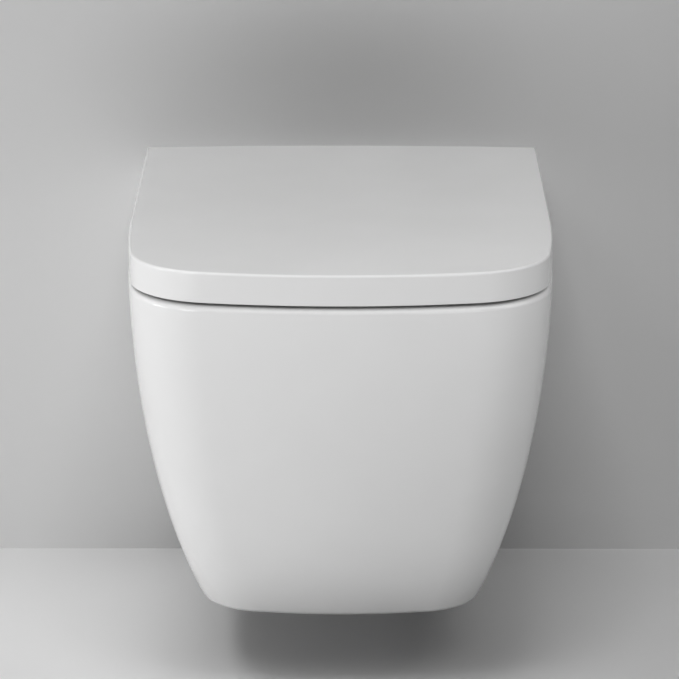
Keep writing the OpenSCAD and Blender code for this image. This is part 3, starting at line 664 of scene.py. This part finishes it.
# ---- Hinge arms ----
# Each arm is one moulding of glass-filled nylon: a barrel that turns about the axis, and a flat
# plate that two screws hold under the seat ring or under the top of the lid. On one side of the
# seat and of the lid a soft-close damper fills the barrel, on the other a plain pin.
arm_width = 34 * mm
arm_corner = 7 * mm
arm_soft = 0.5 * mm
barrel_r = 5.4 * mm
barrel_wall = 3 * mm
damper_bore_r, pin_bore_r = 3.55 * mm, 2.55 * mm
screw_hole_r = 2.2 * mm
seat_plate_t = 3 * mm
lid_plate_t = 2.4 * mm


def soften(form, edges, width, steps):
    """Rounds some edges of a form."""
    bmesh.ops.bevel(form, geom=edges, offset=width, offset_type="OFFSET", segments=steps,
                    profile=0.5, affect="EDGES", material=-1)
    return form


def softened(form):
    """Every sharp edge of a form rounded a little, as a moulding comes out."""
    sharp = [edge for edge in form.edges if edge.calc_face_angle(0) > radians(40)]
    return soften(form, sharp, arm_soft, 2)


def plate(low, high):
    """Flat plate of an arm, with its two front corners rounded."""
    form = block(low, high)
    front = [edge for edge in form.edges
             if all(abs(vert.co.y - low[1]) < 0.01 * mm for vert in edge.verts)
             and abs(edge.verts[0].co.z - edge.verts[1].co.z) > mm]
    return softened(soften(form, front, arm_corner, 6))


def hinge_arm(node, body, blocks, bore_r, screws):
    """Arm of a hinge from its flat blocks (far, near, low, high; the first is the plate)."""
    low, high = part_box(node)
    middle = (low.x + high.x) / 2
    left, right = middle - arm_width / 2, middle + arm_width / 2
    piece = new_piece(node + "_arm", softened(bar(barrel_r, (low.x, axis_y, axis_z),
                                                  (high.x, axis_y, axis_z))))
    for number, (far, near, bottom, top) in enumerate(blocks):
        corners = (left, far, bottom), (right, near, top)
        join(piece, plate(*corners) if number == 0 else softened(block(*corners)), "UNION")
    open_end, closed_end = sorted((low.x, high.x), key=lambda x: abs(abs(x) - hinge_x))
    inwards = 1 if closed_end > open_end else -1
    join(piece, bar(bore_r, (open_end - inwards * past, axis_y, axis_z),
                    (closed_end - inwards * barrel_wall, axis_y, axis_z)), "DIFFERENCE")
    for far in screws:
        join(piece, bar(screw_hole_r, (middle, far, blocks[0][2] - past),
                        (middle, far, blocks[0][3] + past)), "DIFFERENCE")
    shade(piece, crease)
    piece.data.materials.clear()
    piece.data.materials.append(glass_filled_nylon)
    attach(piece, body)
    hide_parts(node)


# Glass-filled nylon, moulded grey: the fibres come up at the surface as short pale flecks and
# leave it dull.
glass_filled_nylon, tree = new_material("glass_filled_nylon")
place = add(tree, "TexCoord").outputs["Object"]
fibres = add(tree, "TexNoise", {"Vector": place, "Scale": 1 / (1.2 * mm), "Detail": 3,
                                "Roughness": 0.6, "Distortion": 1.5})
fleck = add(tree, "Mix", {"Factor": fibres.outputs["Fac"], "A": linear("#8B8D90"),
                          "B": linear("#A2A4A6")}, data_type="RGBA")
nylon_bump = add(tree, "Bump", {"Height": fibres.outputs["Fac"], "Strength": 0.4,
                                "Distance": 0.03 * mm})
nylon = add(tree, "BsdfPrincipled", {"Base Color": fleck.outputs["Result"], "IOR": 1.53,
                                     "Roughness": 0.48,
                                     "Normal": nylon_bump.outputs["Normal"]})
add(tree, "OutputMaterial", {"Surface": nylon.outputs["BSDF"]})

seat_arm_low, seat_arm_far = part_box("seat_hinge_left")[0].z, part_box("seat_hinge_left")[0].y
lid_arm_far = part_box("lid_hinge_left")[0].y
seat_blocks = [
    (seat_arm_far, axis_y - 7 * mm, seat_arm_low, seat_arm_low + seat_plate_t),
    (axis_y - 12 * mm, axis_y - 6.5 * mm, seat_arm_low, axis_z - 2.4 * mm),
    (axis_y - 12 * mm, axis_y - 4.2 * mm, axis_z - 4 * mm, axis_z + 2.9 * mm)]
lid_blocks = [(lid_arm_far, axis_y - 3 * mm, lid_under_z - 0.1 * mm - lid_plate_t,
               lid_under_z - 0.1 * mm)]
seat_screws = [seat_back_y - 20 * mm, seat_back_y - 40 * mm]
lid_screws = [axis_y - 18 * mm, axis_y - 34 * mm]
hinge_arm("seat_hinge_left", "seat_body", seat_blocks, damper_bore_r, seat_screws)
hinge_arm("seat_hinge_right", "seat_body", seat_blocks, pin_bore_r, seat_screws)
hinge_arm("lid_hinge_left", "lid_body", lid_blocks, pin_bore_r, lid_screws)
hinge_arm("lid_hinge_right", "lid_body", lid_blocks, damper_bore_r, lid_screws)

# ---- Fittings ----
# The small pieces keep the solids that the frame gives them, and each gets the finish of what it
# is made of.


def dress(material, *names):
    """Gives a material to the frame's own solids."""
    for name in names:
        for slot in nodes[name].material_slots:
            slot.material = material


# Polypropylene, injection moulded: satin white, with the fine sparkle of a spark-eroded mould.
# The grain is drawn at 0.8 mm, coarser than it is, so that it shows.
white_plastic, tree = new_material("white_polypropylene")
place = add(tree, "TexCoord").outputs["Object"]
grain = add(tree, "TexNoise", {"Vector": place, "Scale": 1 / (0.8 * mm), "Detail": 2})
satin = add(tree, "MapRange", {"Value": grain.outputs["Fac"], "To Min": 0.32, "To Max": 0.46})
grain_bump = add(tree, "Bump", {"Height": grain.outputs["Fac"], "Strength": 0.35,
                                "Distance": 0.02 * mm})
plastic = add(tree, "BsdfPrincipled", {"Base Color": linear("#E6E6E5"), "IOR": 1.49,
                                       "Roughness": satin.outputs[0],
                                       "Normal": grain_bump.outputs["Normal"]})
add(tree, "OutputMaterial", {"Surface": plastic.outputs["BSDF"]})
dress(white_plastic, "flush_distributor", "side_cap_left", "side_cap_right")

# The damper cans are of the same nylon as the arms.
dress(glass_filled_nylon, "seat_damper", "lid_damper")


def metal(name, light, dark, low, high, grain_size, stretch):
    """A metal with fine marks of a size, drawn out along X by stretch."""
    made, tree = new_material(name)
    place = add(tree, "TexCoord").outputs["Object"]
    drawn = add(tree, "Mapping", {"Vector": place, "Scale": (1 / stretch, 1, 1)})
    marks = add(tree, "TexNoise", {"Vector": drawn.outputs[0], "Scale": 1 / grain_size,
                                   "Detail": 3, "Roughness": 0.6})
    tone = add(tree, "Mix", {"Factor": marks.outputs["Fac"], "A": linear(light),
                             "B": linear(dark)}, data_type="RGBA")
    wear = add(tree, "MapRange", {"Value": marks.outputs["Fac"], "From Min": 0.3,
                                  "From Max": 0.7, "To Min": low, "To Max": high})
    bump = add(tree, "Bump", {"Height": marks.outputs["Fac"], "Strength": 0.3,
                              "Distance": 0.01 * mm})
    surface = add(tree, "BsdfPrincipled", {"Base Color": tone.outputs["Result"], "Metallic": 1.0,
                                           "Roughness": wear.outputs[0],
                                           "Normal": bump.outputs["Normal"]})
    add(tree, "OutputMaterial", {"Surface": surface.outputs["BSDF"]})
    return made


# Stainless steel, turned and brushed along its length.
dress(metal("brushed_stainless", "#C9C8C5", "#BAB9B6", 0.22, 0.34, 0.5 * mm, 12),
      "hinge_post_left", "hinge_post_right", "lid_pivot_pin", "seat_pivot_pin",
      "seat_damper_shaft", "lid_damper_shaft")

# Chromed zinc: polished before plating, so that it mirrors, with a slight haze.
dress(metal("polished_chrome", "#E4E5E8", "#DEDFE2", 0.05, 0.09, 6 * mm, 1),
      "hinge_rosette_left", "hinge_rosette_right")

# Zinc-plated steel: pale bluish grey, crystalline and only half bright.
dress(metal("zinc_plated_steel", "#C2C6CB", "#AEB2B6", 0.3, 0.42, 1.5 * mm, 1),
      "fixing_block_left", "fixing_block_right", "clamp_screws", "hinge_bolts",
      "seat_hinge_screws", "lid_hinge_screws")

# Brass as turned on a lathe.
dress(metal("turned_brass", "#D9B978", "#C9A866", 0.24, 0.34, 0.6 * mm, 1), "plug_nuts")


def rubber(name, light, dark, roughness):
    """Moulded rubber with a dull, faintly mottled skin."""
    made, tree = new_material(name)
    place = add(tree, "TexCoord").outputs["Object"]
    skin = add(tree, "TexNoise", {"Vector": place, "Scale": 1 / (2.5 * mm), "Detail": 3})
    tone = add(tree, "Mix", {"Factor": skin.outputs["Fac"], "A": linear(light),
                             "B": linear(dark)}, data_type="RGBA")
    bump = add(tree, "Bump", {"Height": skin.outputs["Fac"], "Strength": 0.4,
                              "Distance": 0.03 * mm})
    surface = add(tree, "BsdfPrincipled", {"Base Color": tone.outputs["Result"], "IOR": 1.52,
                                           "Roughness": roughness,
                                           "Normal": bump.outputs["Normal"]})
    add(tree, "OutputMaterial", {"Surface": surface.outputs["BSDF"]})
    return made


# EPDM rubber, black and matt.
dress(rubber("black_epdm", "#2B2B2D", "#232325", 0.62), "inlet_seal", "expansion_plugs")

# Soft thermoplastic rubber, pale grey and a little waxy.
dress(rubber("grey_elastomer", "#C3C5C7", "#B6B8BA", 0.5), "seat_buffers", "lid_buffers")

# ---- Stage ----
# A pale plastered wall that the pan hangs on, and a pale floor below it. The wall is seen from
# the front only, and it lets light through to the pan's back.
floor_z = -314.6 * mm
wall_half, wall_top = 4.0, 3.2
wall_y = 0.3 * mm
floor_half = 6
backdrop_tone = "#BEBEBE"
fade_start, fade_end = 0.55, 1.5  # distances from the toilet over which the set fades out


def plane(name, corners):
    """Flat four-cornered surface."""
    form = bmesh.new()
    bmesh.ops.create_circle(form, segments=4, radius=1, cap_ends=True)
    for vert, place in zip(list(form.verts), corners):
        vert.co = place
    return new_piece(name, form)


floor = plane("floor", [(-floor_half, -floor_half, floor_z), (floor_half, -floor_half, floor_z),
                        (floor_half, floor_half, floor_z), (-floor_half, floor_half, floor_z)])
wall = plane("wall", [(-wall_half, wall_y, floor_z), (wall_half, wall_y, floor_z),
                      (wall_half, wall_y, wall_top), (-wall_half, wall_y, wall_top)])


def seen(tree):
    """1 for the rays that show the set itself, and 0 for those that only gather light from it."""
    ray = add(tree, "LightPath")
    direct = add(tree, "Math", {0: ray.outputs["Is Camera Ray"], 1: ray.outputs["Is Glossy Ray"]},
                 operation="MAXIMUM")
    return add(tree, "Math", {0: direct.outputs[0], 1: ray.outputs["Is Transmission Ray"]},
               operation="MAXIMUM").outputs[0]


def fade_out(tree, paint):
    """The paint near the toilet, and the even tone of the backdrop well away from it."""
    away = add(tree, "VectorMath", {0: add(tree, "TexCoord").outputs["Object"]},
               operation="LENGTH")
    far = add(tree, "MapRange", {"Value": away.outputs["Value"], "From Min": fade_start,
                                 "From Max": fade_end}, interpolation_type="SMOOTHSTEP")
    share = add(tree, "Math", {0: far.outputs[0], 1: seen(tree)}, operation="MULTIPLY")
    even = add(tree, "Emission", {"Color": linear(backdrop_tone), "Strength": 1.0})
    return add(tree, "MixShader", {0: share.outputs[0], 1: paint.outputs["BSDF"],
                                   2: even.outputs["Emission"]}).outputs["Shader"]


# Flat matt floor paint, which takes a soft shadow and gives no reflection of the pan.
floor_paint, tree = new_material("pale_floor")
surface = add(tree, "BsdfPrincipled", {"Base Color": linear("#EDEDED"), "Roughness": 0.8,
                                       "Specular IOR Level": 0.2})
add(tree, "OutputMaterial", {"Surface": fade_out(tree, surface)})
floor.data.materials.append(floor_paint)

# Flat matt wall paint, with painted shade: a soft darker oval above the lid stands for the falloff
# of light that the photograph shows there. Light for the toilet passes through the wall from
# behind.
wall_paint, tree = new_material("pale_wall")
# painted shade: the wall colour darkens in a soft oval above the lid, deepest at its middle
shade_oval_x, shade_oval_z, shade_oval_half, shade_oval_height = 2 * mm, 172 * mm, 303 * mm, 143 * mm
about = add(tree, "Mapping", {"Vector": add(tree, "TexCoord").outputs["Object"],
                              "Location": (-shade_oval_x / shade_oval_half, 0, -shade_oval_z / shade_oval_height),
                              "Scale": (1 / shade_oval_half, 0, 1 / shade_oval_height)})
shade_oval = add(tree, "TexGradient", {"Vector": about.outputs[0]}, gradient_type="SPHERICAL")
soft = add(tree, "MapRange", {"Value": shade_oval.outputs["Fac"]}, interpolation_type="SMOOTHSTEP")
tone = add(tree, "Mix", {"Factor": soft.outputs[0], "A": linear("#E4E4E4"),
                         "B": linear("#BFBFBF")}, data_type="RGBA")
surface = add(tree, "BsdfPrincipled", {"Base Color": tone.outputs["Result"], "Roughness": 0.9,
                                       "Specular IOR Level": 0.1})
clear = add(tree, "BsdfTransparent")
behind = add(tree, "NewGeometry").outputs["Backfacing"]
ray = add(tree, "LightPath")
unseen = add(tree, "Math", {0: ray.outputs["Is Shadow Ray"], 1: ray.outputs["Is Diffuse Ray"]},
             operation="MAXIMUM")
gone = add(tree, "Math", {0: unseen.outputs[0], 1: behind}, operation="MAXIMUM")
choice = add(tree, "MixShader", {0: gone.outputs[0], 1: fade_out(tree, surface),
                                 2: clear.outputs["BSDF"]})
add(tree, "OutputMaterial", {"Surface": choice.outputs["Shader"]})
wall.data.materials.append(wall_paint)

# ---- Light ----
# Large soft lamps, as in a studio where the product and the set behind it are lit apart: one
# group lights the toilet, the other the wall and the floor, on which the toilet's shadow falls.
set_only = bpy.data.collections.new("set_only")
all_but_set = bpy.data.collections.new("all_but_set")
for surface in (floor, wall):
    set_only.objects.link(surface)
    all_but_set.objects.link(surface)
for entry in all_but_set.collection_objects:
    entry.light_linking.link_state = "EXCLUDE"
world = bpy.data.worlds.new("studio")
world.use_nodes = True
bpy.context.scene.world = world
backdrop = world.node_tree.nodes["Background"]
backdrop.inputs["Color"].default_value = linear(backdrop_tone)
world.node_tree.links.new(seen(world.node_tree), backdrop.inputs["Strength"])


def lamp(receivers, name, place, size, power, target=(0, -0.3, 0)):
    """Square soft lamp that lights the receivers."""
    light = bpy.data.lights.new(name, "AREA")
    light.size = size
    light.energy = power
    held = bpy.data.objects.new(name, light)
    held.location = place
    held.rotation_euler = (Vector(target) - Vector(place)).to_track_quat("-Z", "Y").to_euler()
    held.light_linking.receiver_collection = receivers
    held.visible_camera = False
    bpy.context.scene.collection.objects.link(held)
    return held


# name, place in metres, width in metres, power in watts, and for some a point that it is aimed at
near_front = (0, -0.45, 0.05)
toilet_lamps = [
    ("key_left", (-1.6, -2.2, -0.1), 0.9, 19.9),
    ("side_left", (-2.6, -0.9, 0), 0.8, 15.2),
    ("edge_left", (-1.9, -0.2, 0.2), 0.7, 6.4),
    ("low_right", (1.2, -1.9, -0.15), 0.6, 1.0),
    ("low_front", (0.8, -2.6, 0), 0.6, 4.0),
    ("top_left", (-1.0, -0.2, 1.9), 0.9, 14.6),
    ("top_right", (1.0, -1.0, 1.9), 0.9, 4.2),
    ("top_front", (0, -1.3, 1.0), 1.2, 7.1, near_front),
    ("edge_right", (1.1, -0.6, 0.9), 0.9, 4.0, near_front),
    ("back_left", (-0.3, 1.9, 0), 0.7, 13),
    ("back_right", (0.3, 1.9, 0), 0.7, 13)]
set_lamps = [
    ("set_left", (-0.9, -0.25, 1.3), 1.3, 5.9, (-0.63, -0.2, 0)),
    ("set_right", (0.9, -0.25, 1.3), 1.3, 5, (0.63, -0.2, 0)),
    ("set_high_left", (-1.0, -0.3, 1.5), 0.5, 5.9, (-0.6, -0.21, 0)),
    ("set_low_left", (-1.3, -0.4, -0.1), 0.5, 2.9, (-0.5, 0, 0)),
    ("set_back", (0, 1.6, 1.5), 1.0, 1.0, (0, 1.3, 0)),
    ("set_front", (0, -1.3, 1.5), 0.5, 12.2, (0, -0.91, 0))]
for entry in toilet_lamps:
    made = lamp(all_but_set, *entry)
    # this one would lie mirrored in the lid's top, seen from the right
    made.visible_glossy = entry[0] != "edge_left"
for entry in set_lamps:
    lamp(set_only, *entry)

# ---- Camera ----
# A long lens at chest height in front, looking a little down and a touch to the left, as in the
# photograph.
camera_place = (9.7 * mm, -3.6424, 0.9286)
look_down = radians(15.736)
turned_left = radians(0.186)
camera = bpy.data.objects.new("camera", bpy.data.cameras.new("camera"))
camera.location = camera_place
camera.rotation_euler = (pi / 2 - look_down, 0, turned_left)
camera.data.lens = 204
bpy.context.scene.collection.objects.link(camera)
bpy.context.scene.camera = camera
bpy.context.scene.view_settings.view_transform = "Standard"
